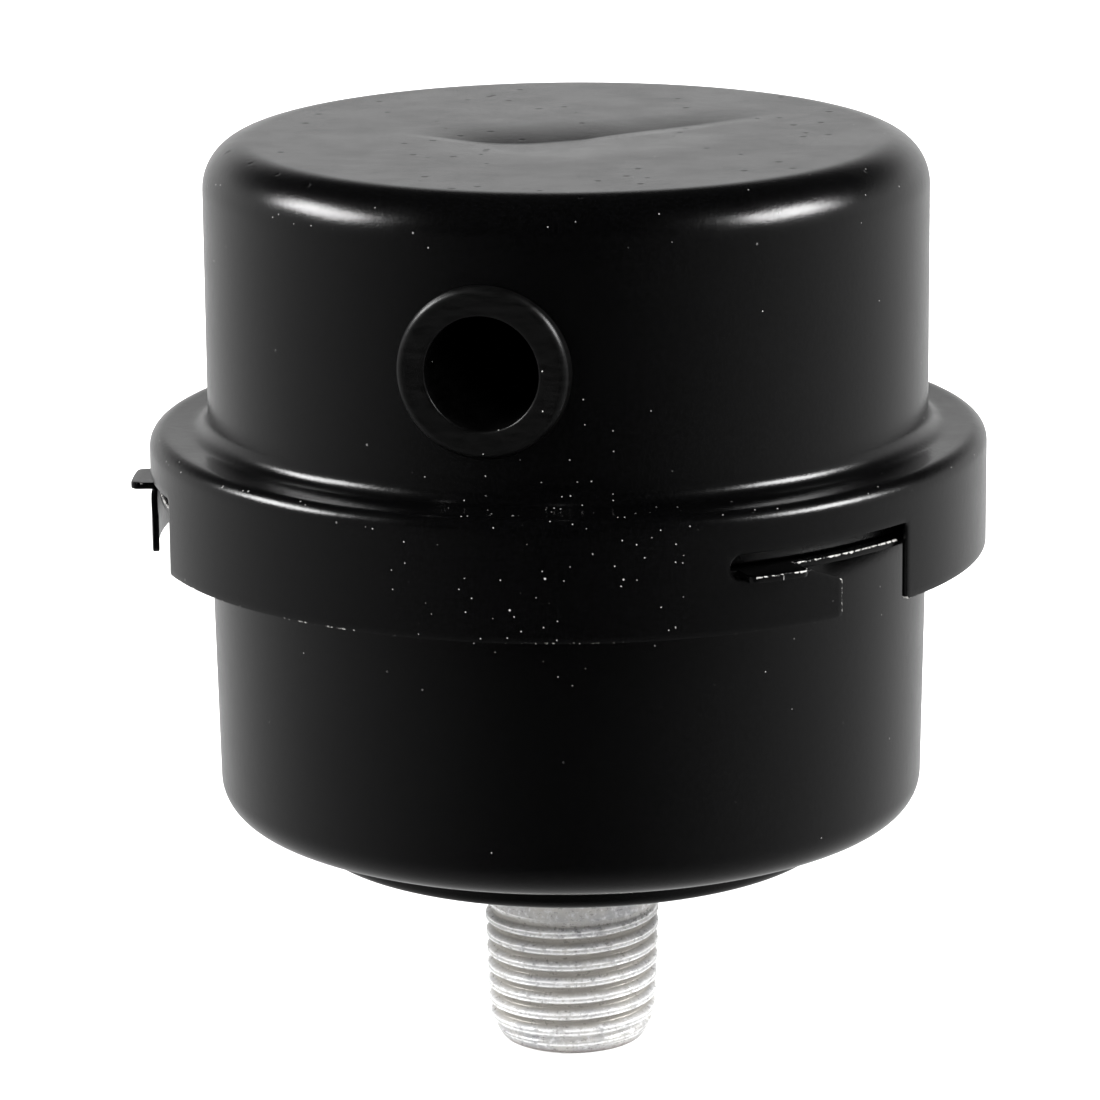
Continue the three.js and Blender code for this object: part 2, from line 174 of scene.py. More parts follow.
def thicken(piece, thickness, offset=-1):
    """Gives an open surface a thickness in mm, behind its faces or, with offset 1, in front of them."""
    solid = piece.modifiers.new("thickness", "SOLIDIFY")
    solid.thickness = thickness * MM
    solid.offset = offset
    solid.use_even_offset = True


def round_edges(piece, width, segments=2, angle=50):
    bevel = piece.modifiers.new("rounding", "BEVEL")
    bevel.width = width * MM
    bevel.segments = segments
    bevel.limit_method = "ANGLE"
    bevel.angle_limit = math.radians(angle)
    bevel.use_clamp_overlap = False
    bevel.harden_normals = False


def mark_edges(piece, reach, wear):
    """Writes the attribute "edge": on the vertices of sharp edges the wear, a function of the place in mm,
    falling to 0 over the reach in mm."""
    mesh = piece.data
    bm = bmesh.new()
    bm.from_mesh(mesh)
    values = {}
    for edge in bm.edges:
        if len(edge.link_faces) == 2 and edge.calc_face_angle(0.0) > math.radians(22):
            for vertex in edge.verts:
                values[vertex] = wear(vertex.co / MM)
    front = list(values)
    while front:
        reached = []
        for vertex in front:
            for edge in vertex.link_edges:
                other = edge.other_vert(vertex)
                left = values[vertex] - edge.calc_length() / MM / reach
                if left > values.get(other, 0) + 1e-6:
                    values[other] = left
                    reached.append(other)
        front = reached
    found = [values.get(vertex, 0.0) for vertex in bm.verts]
    bm.free()
    mesh.attributes.new("edge", "FLOAT", "POINT").data.foreach_set("value", found)


def slot_angle(place):
    """The angle in degrees of a place past the last bayonet's start."""
    return math.degrees(math.atan2(place.x, -place.y)) % (360 / BAYONET_COUNT)


def cover_wear(place):
    """How much the cover's edges are rubbed: along the bottom, most at the foot of the cut-out beside the
    inlet and at the end of its lip, and little in the slots."""
    if place.z > SEAM_Z:
        return 0.0
    beside_inlet = place.x > 0 and place.y < 0
    if beside_inlet and abs(slot_angle(place) - CUTOUT_END) < 0.4 and place.z < SKIRT_BOTTOM + 0.2:
        return 0.95
    if place.z < SKIRT_BOTTOM + 0.3:
        return 0.76
    if beside_inlet and abs(slot_angle(place) - LIP_END) < 0.6 and place.z < SKIRT_BOTTOM + LIP_HEIGHT:
        return 0.9
    return 0.35


def cup_wear(place):
    """How much the cup's edges are rubbed: only the outer edge of the rim and its lugs, where they can be
    reached through the slots."""
    return 0.92 if place.z > RIM_TOP - 0.2 and LUG_START + 0.6 < slot_angle(place) < CUTOUT_END else 0.3


def finish_piece(piece, body, slot, material, *nodes):
    piece.data.materials.clear()
    piece.data.materials.append(material)
    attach(piece, body)
    if nodes:
        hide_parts(*nodes)
    return piece


# ---- Materials -----------------------------------------------------------------------------------------

ENAMEL_WEAR = 0.42  # how readily the enamel's edges chip
DUSTY_SPOT = (4.0, -31.0, 47.0)  # the front of the flange and skirt, where most of the dust lies
DUST_AND_GLINT_BANDS = (  # how densely the cover's rounded corners are specked, and the heights where that starts and fades out; the specks are dust, and at the skirt's top corner also painted glints
    (0.6, FLANGE_TOP - 1.3, FLANGE_TOP - 0.8, FLANGE_TOP - 0.2, FLANGE_TOP),
    (0.5, CAN_TOP - 4.2, CAN_TOP - 3.4, CAN_TOP - 2.0, CAN_TOP - 1.2),
)


class Nodes:
    """A material's node tree, with short ways to add and link nodes."""

    def __init__(self, name):
        self.material = bpy.data.materials.new(name)
        self.material.use_nodes = True
        self.tree = self.material.node_tree
        self.shader = self.tree.nodes["Principled BSDF"]
        self.place = self.add("ShaderNodeTexCoord").outputs["Object"]

    def add(self, kind, **settings):
        node = self.tree.nodes.new(kind)
        for key, value in settings.items():
            setattr(node, key, value)
        return node

    def set(self, node, values):
        for key, value in values.items():
            if isinstance(value, bpy.types.NodeSocket):
                self.tree.links.new(value, node.inputs[key])
            else:
                node.inputs[key].default_value = value
        return node

    def math(self, operation, a, b=0.0, c=0.0):
        node = self.add("ShaderNodeMath", operation=operation)
        self.set(node, {0: a, 1: b, 2: c})
        return node.outputs[0]

    def noise(self, per_mm, detail=2.0, rough=0.5, place=None, distortion=0.0):
        node = self.add("ShaderNodeTexNoise")
        values = {"Scale": per_mm / MM, "Detail": detail, "Roughness": rough, "Distortion": distortion}
        self.set(node, {"Vector": place or self.place, **values})
        return node.outputs["Fac"]

    def ramp(self, value, low, high, to_low=0.0, to_high=1.0):
        node = self.add("ShaderNodeMapRange", interpolation_type="SMOOTHSTEP")
        values = {"Value": value, "From Min": low, "From Max": high, "To Min": to_low, "To Max": to_high}
        return self.set(node, values).outputs["Result"]

    def mapped(self, scale=(1, 1, 1), turn=(0, 0, 0), shift=(0, 0, 0)):
        node = self.add("ShaderNodeMapping")
        self.set(node, {"Vector": self.place, "Scale": scale, "Rotation": turn, "Location": shift})
        return node.outputs["Vector"]

    def specks(self, spacing, radius, share, place=None):
        """Scattered round specks: cells a spacing apart in mm, of which a share holds a speck of about the
        radius."""
        node = self.add("ShaderNodeTexVoronoi")
        self.set(node, {"Vector": place or self.place, "Scale": 1 / (spacing * MM)})
        near = self.ramp(node.outputs["Distance"], 0.7 * radius / spacing, radius / spacing, 1, 0)
        split = self.add("ShaderNodeSeparateColor")
        self.set(split, {"Color": node.outputs["Color"]})
        chosen = self.math("LESS_THAN", split.outputs[0], share)
        return self.math("MULTIPLY", near, chosen)

    def height(self):
        split = self.add("ShaderNodeSeparateXYZ")
        self.set(split, {"Vector": self.place})
        return split.outputs["Z"]

    def near(self, spot, full, none):
        """1 within full mm of a spot given in mm, falling to 0 at none mm."""
        node = self.add("ShaderNodeVectorMath", operation="DISTANCE")
        self.set(node, {0: self.place, 1: tuple(c * MM for c in spot)})
        return self.ramp(node.outputs["Value"], full * MM, none * MM, 1, 0)

    def mix(self, factor, a, b):
        node = self.add("ShaderNodeMix", data_type="RGBA")
        self.set(node, {0: factor, 6: a, 7: b})
        return node.outputs[2]

    def mix_value(self, factor, a, b):
        node = self.add("ShaderNodeMix", data_type="FLOAT")
        self.set(node, {0: factor, 2: a, 3: b})
        return node.outputs[0]

    def bump(self, height, depth_mm, strength=1.0, normal=None):
        node = self.add("ShaderNodeBump")
        self.set(node, {"Height": height, "Distance": depth_mm * MM, "Strength": strength})
        if normal:
            self.set(node, {"Normal": normal})
        return node.outputs["Normal"]


def enamel(name, wear):
    """Black stove enamel: orange peel, dust, pale specks along the skirt's top corner that are dust and
    painted glints, hair scratches, small pits on the top, and chips that show bare metal along a share of the
    cut edges."""
    n = Nodes(name)
    waves = n.noise(0.05, 1.0)
    peel = n.noise(1.8, 2.0, 0.6)
    grit = n.noise(4.0, 3.0, 0.75)
    level = n.height()
    dust_and_glint_share = n.math("MAXIMUM", n.near(DUSTY_SPOT, 4, 20), n.ramp(n.noise(0.12, 2.0), 0.58, 0.75, 0.0, 0.4))
    # The first band, at the skirt's top corner, holds dust and painted glints of the corner's highlight line;
    # the second, at the can's top corner, holds dust
    for share, *heights in DUST_AND_GLINT_BANDS:
        start, full, fading, end = (height * MM for height in heights)
        band = n.math("MULTIPLY", n.ramp(level, start, full, 0, share), n.ramp(level, fading, end, 1, 0))
        dust_and_glint_share = n.math("MAXIMUM", dust_and_glint_share, band)
    # The specks from here on are dust, and in the band at the skirt's top corner also painted glints of its
    # highlight line
    fine = n.math("MULTIPLY", n.specks(0.5, 0.06, 0.25), n.math("GREATER_THAN", dust_and_glint_share, n.noise(0.7, 2.0)))
    dust = n.math("MAXIMUM", n.specks(1.7, 0.06, 0.25), fine)
    dust = n.math("MAXIMUM", dust, n.math("MULTIPLY", n.specks(1.3, 0.1, 0.2), dust_and_glint_share))
    hairs = n.specks(2.4, 0.05, 0.2, n.mapped((1, 1, 0.2), (0.5, 0.9, 0.3), (7 * MM, 0, 0)))
    marks = n.math("MAXIMUM", dust, n.math("MULTIPLY", hairs, 0.5))
    top = n.ramp(level, (CAN_TOP - 0.7) * MM, (CAN_TOP - 0.4) * MM)
    pits = n.math("MULTIPLY", n.specks(1.6, 0.3, 0.25), top)
    edge = n.add("ShaderNodeAttribute", attribute_name="edge").outputs["Fac"]
    ragged = n.math("ADD", n.noise(2.2, 4.0, 0.75), n.math("MULTIPLY", n.noise(0.12, 2.0), 0.5))
    chips = n.math("GREATER_THAN", n.math("MULTIPLY", edge, ragged), 1.1 - wear)
    tone = n.mix(n.ramp(grit, 0.35, 0.65), (0.0002, 0.0002, 0.0002, 1), (0.0008, 0.0008, 0.0009, 1))
    tone = n.mix(n.math("MULTIPLY", marks, 0.6), tone, (0.5, 0.49, 0.48, 1))
    rough = n.ramp(n.noise(0.22, 3.0, 0.6), 0.3, 0.7, 0.19, 0.23)
    rough = n.mix_value(marks, rough, 0.8)
    tone = n.mix(chips, tone, (0.55, 0.54, 0.52, 1))
    rough = n.mix_value(chips, rough, 0.45)
    n.set(n.shader, {"Metallic": n.math("MULTIPLY", chips, 0.6)})
    normal = n.bump(waves, 0.15, 0.5)
    normal = n.bump(peel, 0.01, 0.5, normal)
    normal = n.bump(grit, 0.02, 0.6, normal)
    normal = n.bump(n.math("SUBTRACT", marks, pits), 0.06, 0.7, normal)
    shine = n.math("MULTIPLY_ADD", pits, -0.4, 0.5)
    n.set(n.shader, {"Base Color": tone, "Roughness": rough, "Normal": normal})
    n.set(n.shader, {"IOR": 1.45, "Specular IOR Level": shine})
    return n.material


def moulded_plastic():
    """Satin black moulding with a fine spark-eroded grain, faint flow lines and a little dust."""
    n = Nodes("moulded_plastic")
    grain = n.noise(9.0, 2.0, 0.6)
    flow = n.noise(0.5, 3.0, 0.6, n.mapped((1, 1, 5)))
    dust = n.specks(1.1, 0.06, 0.3)
    tone = n.mix(n.ramp(flow, 0.3, 0.7), (0.0008, 0.0008, 0.0008, 1), (0.002, 0.002, 0.002, 1))
    tone = n.mix(n.math("MULTIPLY", dust, 0.7), tone, (0.5, 0.5, 0.48, 1))
    rough = n.ramp(flow, 0.3, 0.7, 0.3, 0.38)
    normal = n.bump(grain, 0.012, 0.6)
    n.set(n.shader, {"Base Color": tone, "Roughness": rough, "Normal": normal})
    n.set(n.shader, {"IOR": 1.45, "Specular IOR Level": 0.4})
    return n.material


def cast_aluminium():
    """Bare die casting: pale grey skin, darker and warmer painted shade in the thread's grooves, painted
    shade at the lower end, painted glint lines along the crests' edges, and pits.
    """
    n = Nodes("cast_aluminium")
    cloud = n.noise(0.35, 4.0, 0.6)
    skin = n.noise(2.2, 4.0, 0.75)
    pits = n.specks(0.9, 0.09, 0.25)
    streaks = n.noise(0.9, 3.0, 0.6, n.mapped((1, 1, 6)))
    crest = n.add("ShaderNodeAttribute", attribute_name="crest").outputs["Fac"]
    painted_glint = n.add("ShaderNodeAttribute", attribute_name="painted_glint").outputs["Fac"]
    tone = n.mix(n.ramp(cloud, 0.35, 0.65), (0.4, 0.4, 0.41, 1), (0.52, 0.51, 0.49, 1))
    tone = n.mix(n.ramp(skin, 0.5, 0.66), tone, (0.7, 0.7, 0.71, 1))
    # Painted shade: a darker, warmer tone at the bottom of the thread's grooves
    tone = n.mix(n.ramp(crest, 0.0, 0.8), (0.31, 0.295, 0.27, 1), tone)
    # Painted highlight: white glint lines, broken by noise, along the edges of the thread's crests
    bright = n.math("MULTIPLY", painted_glint, n.ramp(n.noise(1.3, 3.0, 0.7), 0.33, 0.5))
    tone = n.mix(bright, tone, (1.0, 1.0, 1.0, 1))
    tone = n.mix(n.math("MULTIPLY", pits, 0.5), tone, (0.25, 0.24, 0.23, 1))
    # Painted shade: a darker, warmer tone over the lowest half millimetre, where the stub stands on the floor
    tone = n.mix(n.ramp(n.height(), 0.1 * MM, 0.5 * MM, 0.7, 0), tone, (0.26, 0.22, 0.2, 1))
    uneven = n.math("ADD", n.math("MULTIPLY", skin, 0.6), n.math("MULTIPLY", streaks, 0.4))
    rough = n.ramp(uneven, 0.3, 0.7, 0.22, 0.45)
    normal = n.bump(skin, 0.05, 0.6)
    normal = n.bump(streaks, 0.03, 0.5, normal)
    n.set(n.shader, {"Base Color": tone, "Roughness": rough, "Normal": normal, "Metallic": 0.45})
    return n.material


def plated_steel():
    """Zinc-plated sheet: cool grey with a faint spangle and drawing lines."""
    n = Nodes("plated_steel")
    spangle = n.add("ShaderNodeTexVoronoi")
    n.set(spangle, {"Vector": n.place, "Scale": 0.7 / MM})
    split = n.add("ShaderNodeSeparateColor")
    n.set(split, {"Color": spangle.outputs["Color"]})
    lines = n.noise(2.0, 3.0, 0.6, n.mapped((1, 9, 1)))
    tone = n.mix(split.outputs[0], (0.55, 0.57, 0.59, 1), (0.68, 0.69, 0.7, 1))
    rough = n.ramp(lines, 0.3, 0.7, 0.25, 0.4)
    normal = n.bump(lines, 0.01, 0.5)
    n.set(n.shader, {"Base Color": tone, "Roughness": rough, "Normal": normal, "Metallic": 1.0})
    return n.material


def filter_foam():
    """Open-cell foam: pale, with painted shade in its pores of mixed size."""
    n = Nodes("filter_foam")
    cells = n.add("ShaderNodeTexVoronoi", feature="DISTANCE_TO_EDGE")
    n.set(cells, {"Vector": n.place, "Scale": 1.1 / MM})
    pores = n.ramp(cells.outputs["Distance"], 0.05, 0.3)
    cloud = n.noise(0.15, 3.0)
    # Painted shade: a darker tone inside the pores
    tone = n.mix(pores, (0.78, 0.75, 0.67, 1), (0.36, 0.33, 0.27, 1))
    tone = n.mix(n.ramp(cloud, 0.35, 0.65, 0, 0.25), tone, (0.6, 0.55, 0.44, 1))
    normal = n.bump(pores, -0.4, 0.9)
    n.set(n.shader, {"Base Color": tone, "Roughness": 0.95, "Normal": normal})
    return n.material


def black_rubber():
    """Smooth nitrile sheet, faintly clouded."""
    n = Nodes("black_rubber")
    bloom = n.noise(0.3, 4.0, 0.65)
    grain = n.noise(7.0, 2.0, 0.5)
    tone = n.mix(n.ramp(bloom, 0.4, 0.7), (0.002, 0.002, 0.002, 1), (0.005, 0.005, 0.005, 1))
    rough = n.ramp(bloom, 0.4, 0.7, 0.26, 0.4)
    n.set(n.shader, {"Base Color": tone, "Roughness": rough, "Normal": n.bump(grain, 0.02, 0.6)})
    return n.material


# ---- Cover ---------------------------------------------------------------------------------------------

SEAM_Z = SKIRT_BOTTOM + 6.4  # where the turned part of the skirt meets the part with the slots
SEAM_STEP = 0.55


def fold(behind, drop, far, near, rise):
    """The depth of a fold at a distance behind its bottom line: a slope that steepens down to it from behind,
    a short rise in front of it, and a slow run-out of what is left."""
    if behind > 0:
        return drop * max(0.0, 1 - behind / far) ** 2
    return (drop - rise) * (1 - smooth(-behind / 11)) + rise * (1 - smooth(-behind / near))


def smooth(share):
    share = min(1.0, max(0.0, share))
    return share * share * (3 - 2 * share)


def crown(x, y):
    """How far the top plate lies below flat, in mm: a dent near the middle, a crease that runs out of it to
    the far right, and a slow unevenness. x is to the camera's right and y is away from it."""
    bottom = -1.45 + 0.045 * (x + 3.8) ** 2 if x < 1 else -0.41 + 0.58 * (x - 1)
    dent = fold(y - bottom, 0.42, 7.5, 1.6, 0.15) * math.exp(-(abs((x + 3.6) / 5.2) ** 2.6))
    crease = fold(y - bottom, 0.2, 6.0, 2.4, 0.07) * smooth((x + 2) / 4) * smooth((17.5 - x) / 9)
    sway = 0.03 + 0.03 * noise.noise(Vector((x, y, 3.0)) / 11)
    return dent + crease + sway


def sink_top(point):
    """Lowers the points of the top plate by crown(), fading out towards its corner."""
    x, y = point.x / MM, point.y / MM
    radius = math.hypot(x, y)
    fade = max(0.0, 1 - (radius / (CAN_R - CAN_CORNER_R + 0.8)) ** 4)
    right = Vector((math.cos(PHOTO_AZIMUTH), math.sin(PHOTO_AZIMUTH)))
    away = Vector((-math.sin(PHOTO_AZIMUTH), math.cos(PHOTO_AZIMUTH)))
    flat = Vector((x, y))
    return Vector((point.x, point.y, point.z - fade * crown(flat.dot(right), flat.dot(away)) * MM))


def slot_outline():
    """The lower edge of one third of the skirt, as (angle, height) points from 0 to 120 degrees: straight,
    up and round the bayonet slot, and straight again."""
    per_degree = SKIRT_R * DEGREE
    low, high = SKIRT_BOTTOM + LIP_HEIGHT, SKIRT_BOTTOM + SLOT_TOP_HEIGHT
    end_r = (high - low) / 2
    s_closed, s_lip, s_far = (a * per_degree for a in (SLOT_CLOSED_END, LIP_END, CUTOUT_END))
    corner = CUTOUT_CORNER_R
    step = 0.3
    points = run((0, SKIRT_BOTTOM), (s_lip - corner, SKIRT_BOTTOM), SEAM_STEP)
    points += arc((s_lip - corner, SKIRT_BOTTOM + corner), corner, -90, 0, 4)[:-1]
    points += run((s_lip, SKIRT_BOTTOM + corner), (s_lip, low - LIP_LEAD_IN_DROP - 0.2), step)
    points += run((s_lip, low - LIP_LEAD_IN_DROP - 0.2), (s_lip - 0.25, low - LIP_LEAD_IN_DROP), step)
    points += run((s_lip - 0.25, low - LIP_LEAD_IN_DROP), (s_lip - LIP_LEAD_IN_LENGTH, low), step)
    points += run((s_lip - LIP_LEAD_IN_LENGTH, low), (s_closed + end_r, low), step)
    points += arc((s_closed + end_r, low + end_r), end_r, 270, 90, 10)[:-1]
    points += run((s_closed + end_r, high), (s_far - corner, high), step)
    points += arc((s_far - corner, high - corner), corner, 90, 0, 4)[:-1]
    points += run((s_far, high - corner), (s_far, SKIRT_BOTTOM + 0.15), step)
    points += run((s_far, SKIRT_BOTTOM + 0.15), (s_far + 0.15, SKIRT_BOTTOM), step)
    points += run((s_far + 0.15, SKIRT_BOTTOM), (120 * per_degree, SKIRT_BOTTOM), SEAM_STEP)
    return [(s / per_degree, z) for s, z in points] + [(120.0, SKIRT_BOTTOM)]


def skirt_sector(first_angle):
    """The slotted part of a third of the skirt, as triangles on the outer cylinder."""
    per_degree = SKIRT_R * DEGREE
    columns = TURN_STEPS // BAYONET_COUNT
    lower = slot_outline()
    side = run((0, SKIRT_BOTTOM), (0, SEAM_Z), SEAM_STEP)[1:]
    upper = [(120.0 - i * 120.0 / columns, SEAM_Z) for i in range(columns + 1)]
    edge = lower + [(120.0, z) for _, z in side] + upper + [(0.0, z) for _, z in reversed(side)]
    flat = [Vector((a * per_degree, z)) for a, z in edge]
    inner = []
    height = SEAM_Z - SKIRT_BOTTOM
    clearance = 0.28
    rows = round(height / SEAM_STEP)
    for i in range(1, columns):
        for j in range(1, rows):
            spot = Vector((i * 120.0 / columns * per_degree, SKIRT_BOTTOM + j * height / rows))
            if min((spot - p).length for p in flat) > clearance:
                inner.append(spot)
    flat_points, _, faces, *_ = delaunay_2d_cdt(flat + inner, [], [list(range(len(flat)))], 1, 1e-5)
    points = [polar(SKIRT_R, (p.x / per_degree + first_angle) * DEGREE, p.y) for p in flat_points]
    return points, [tuple(face) for face in faces]


def cover_outline():
    """The cover's outer side from the middle of the top down to the seam on the skirt."""
    top_r = CAN_R - CAN_CORNER_R
    fillet = (CAN_R + FLANGE_FILLET_R, FLANGE_TOP - FLANGE_DISH + FLANGE_FILLET_R)
    corner = (SKIRT_R - SKIRT_CORNER_R, FLANGE_TOP - SKIRT_CORNER_R)
    points = run((0.05, CAN_TOP), (top_r, CAN_TOP), 0.35)
    points += arc((top_r, CAN_TOP - CAN_CORNER_R), CAN_CORNER_R, 90, 0, 18)[:-1]
    points += run((CAN_R, CAN_TOP - CAN_CORNER_R), (CAN_R, fillet[1]), 0.9)
    points += arc(fillet, FLANGE_FILLET_R, 180, 270, 8)[:-1]
    points += run((fillet[0], FLANGE_TOP - FLANGE_DISH), (corner[0], FLANGE_TOP), 0.4)
    points += arc(corner, SKIRT_CORNER_R, 90, 0, 8)[:-1]
    points += run((SKIRT_R, corner[1]), (SKIRT_R, SEAM_Z), SEAM_STEP) + [(SKIRT_R, SEAM_Z)]
    return points


def inlet_hole_cutter():
    """A round bar along -Y that opens the can's side for the inlet's tube."""
    steps = 96
    rows = []
    for depth in (CAN_R + 3, CAN_R - 6):
        turns = [2 * math.pi * i / steps for i in range(steps)]
        sides = [(INLET_HOLE_R * math.cos(t), INLET_HOLE_R * math.sin(t)) for t in turns]
        rows.append([Vector((x, -depth, INLET_Z + z)) * MM for x, z in sides])
    vertices, faces = turned_grid(rows, False)
    faces += [tuple(range(steps)), tuple(range(2 * steps - 1, steps - 1, -1))]
    return object_from("inlet_hole_cutter", vertices, faces)


def build_cover(material):
    """The cover as a surface turned down to the seam, three slotted sectors of skirt below it, thickened to
    sheet and with the inlet's hole cut out."""
    rows = []
    for radius, height in cover_outline():
        row = [polar(radius, 2 * math.pi * i / TURN_STEPS, height) for i in range(TURN_STEPS)]
        rows.append([sink_top(p) if height > CAN_TOP - CAN_CORNER_R / 2 else p for p in row])
    vertices, faces = turned_grid(rows, False)
    faces.append(tuple(range(TURN_STEPS)))
    for i in range(BAYONET_COUNT):
        points, triangles = skirt_sector(120.0 * i)
        base = len(vertices)
        vertices += points
        faces += [tuple(base + index for index in face) for face in triangles]
    piece = object_from("cover_shell", vertices, faces)
    face_outwards(piece)
    thicken(piece, SHEET)
    round_edges(piece, 0.09)
    apply_modifiers(piece, 38)
    cutter = inlet_hole_cutter()
    cut = piece.modifiers.new("inlet_hole", "BOOLEAN")
    cut.object = cutter
    cut.operation = "DIFFERENCE"
    cut.solver = "EXACT"
    apply_modifiers(piece, 38)
    bpy.data.objects.remove(cutter)
    mark_edges(piece, 0.25, cover_wear)
    return finish_piece(piece, "cover", "black_enamel", material, "cover")


def face_outwards(piece):
    """Turns an open surface's faces so that its walls look away from the axis."""
    outwards = sum(f.area * (f.normal.x * f.center.x + f.normal.y * f.center.y) for f in piece.data.polygons)
    if outwards < 0:
        piece.data.flip_normals()


# ---- Base cup ------------------------------------------------------------------------------------------


def rim_radius(angle):
    """The rim's outer radius at an angle in degrees: the flange, with three lugs with rounded corners."""
    inside = (LUG_END - LUG_START) / 2 - abs(angle % 120 - (LUG_START + LUG_END) / 2)
    if inside < -1e-6:
        return RIM_R
    short = max(0.0, 1 - inside / LUG_CORNER)
    return LUG_REACH_R - LUG_CORNER_R * (1 - math.sqrt(max(0.0, 1 - short**2)))


def rim_angles():
    """The columns round the cup in degrees, with extra ones at the lugs' corners."""
    insets = [-0.03] + [LUG_CORNER * (1 - math.cos(i * math.pi / 12)) for i in range(7)]
    extra = [LUG_START + inset for inset in insets] + [LUG_END - inset for inset in insets]
    columns = [a for a in range(120) if all(abs(a - e) > 0.12 for e in extra)]
    return [120 * i + a for i in range(BAYONET_COUNT) for a in sorted(columns + extra)]


def cup_outline():
    """The cup's outer side from the stub's hole to where the rim flange has bent flat."""
    step_top = STEP_UNDERSIDE + STEP_HEIGHT
    low_r = CUP_LOW_R - CUP_CORNER_R
    slope = math.degrees(CUP_BOTTOM_SLOPE)
    end_r = low_r + CUP_CORNER_R * math.sin(CUP_BOTTOM_SLOPE)
    end_z = step_top + (end_r - STEP_R) * math.tan(CUP_BOTTOM_SLOPE)
    corner = (low_r, end_z + CUP_CORNER_R * math.cos(CUP_BOTTOM_SLOPE))
    under_rim = RIM_TOP - SHEET
    points = run((STUB_HOLE_R, STEP_UNDERSIDE), (STEP_R - STEP_CORNER_R, STEP_UNDERSIDE), 0.8)
    points += arc((STEP_R - STEP_CORNER_R, STEP_UNDERSIDE + STEP_CORNER_R), STEP_CORNER_R, -90, 0, 7)
    points += arc((STEP_R + STEP_CORNER_R, step_top - STEP_CORNER_R), STEP_CORNER_R, 180, 90 + slope, 7)
    points += arc(corner, CUP_CORNER_R, -90 + slope, 0, 14)[:-1]
    points += run((CUP_LOW_R, corner[1]), (CUP_TOP_R, under_rim - RIM_BEND_R), 0.9)
    points += arc((CUP_TOP_R + RIM_BEND_R, under_rim - RIM_BEND_R), RIM_BEND_R, 180, 90, 7)
    return points


def build_base(material):
    """The cup turned up to its rim, whose flat flange spreads out into the lugs."""
    angles = rim_angles()
    rows = [[polar(radius, a * DEGREE, height) for a in angles] for radius, height in cup_outline()]
    flat_r = CUP_TOP_R + RIM_BEND_R
    for i in range(1, 9):
        rows.append(
            [polar(flat_r + (rim_radius(a) - flat_r) * i / 8, a * DEGREE, RIM_TOP - SHEET) for a in angles]
        )
    vertices, faces = turned_grid(rows, False)
    piece = object_from("base_cup_shell", vertices, faces)
    face_outwards(piece)
    thicken(piece, SHEET)
    round_edges(piece, 0.07)
    apply_modifiers(piece, 38)
    mark_edges(piece, 0.22, cup_wear)
    return finish_piece(piece, "base", "black_enamel", material, "base_cup")


# ---- Inlet bushing -------------------------------------------------------------------------------------


def wall_depth(x, radius):
    """How far behind the bushing's face a cylinder round the can's axis lies, at x to the side."""
    return CAN_R + INLET_PROUD - math.sqrt(radius**2 - x**2)


def build_bushing(material):
    """The bushing: its round face, the groove for the can's wall, the bead behind it and the tube."""
    steps = 160
    round_r = 0.6
    face_y = -(CAN_R + INLET_PROUD)
    rows = []

    def ring(radius, depth):
        row = []
        for i in range(steps):
            turn = 2 * math.pi * i / steps
            x, z = radius * math.cos(turn), radius * math.sin(turn)
            behind = depth(x) if callable(depth) else depth
            row.append(Vector((x, face_y + behind, INLET_Z + z)) * MM)
        rows.append(row)

    for radius, depth in arc((INLET_BORE_R + 0.2, 0.2), 0.2, 180, 270, 4):
        ring(radius, depth)
    for radius in (4.7, 5.1, 5.5):
        ring(radius, 0.0)
    for radius, depth in arc((INLET_FACE_R - round_r, round_r), round_r, -90, 0, 8):
        ring(radius, depth)
    outside, inside = CAN_R + 0.02, CAN_R - SHEET - 0.05
    ring(INLET_FACE_R, lambda x: wall_depth(x, outside))
    ring(5.8, lambda x: wall_depth(x, outside))
    ring(INLET_TUBE_R + 0.05, lambda x: wall_depth(x, outside))
    ring(INLET_TUBE_R, lambda x: wall_depth(x, inside))
    for radius, depth in ((5.2, 2.6), (5.65, 2.8), (5.75, 3.1), (5.7, 3.6), (5.2, 4.0)):
        ring(radius, depth)
    ring(INLET_TUBE_R, 8.0)
    ring(INLET_TUBE_R, INLET_TUBE_LENGTH - 0.2)
    ring(INLET_TUBE_R - 0.2, INLET_TUBE_LENGTH)
    ring(INLET_BORE_R + 0.2, INLET_TUBE_LENGTH)
    for depth in (INLET_TUBE_LENGTH - 0.2, 9.0, 6.0, 3.0):
        ring(INLET_BORE_R, depth)
    vertices, faces = turned_grid(rows, True)
    piece = object_from("inlet_bushing_moulding", vertices, faces)
    apply_modifiers(piece, 40)
    return finish_piece(piece, "cover", "black_plastic", material, "inlet_bushing")


# ---- Threaded stub -------------------------------------------------------------------------------------


CREST = 0.26  # the share of the thread's pitch that its flat crest takes


def thread_side(angle, height):
    """0 in the middle of the thread's crest, 1 in the middle of its root."""
    return abs((height / THREAD_PITCH - angle / (2 * math.pi) + 0.05) % 1.0 - 0.5) * 2


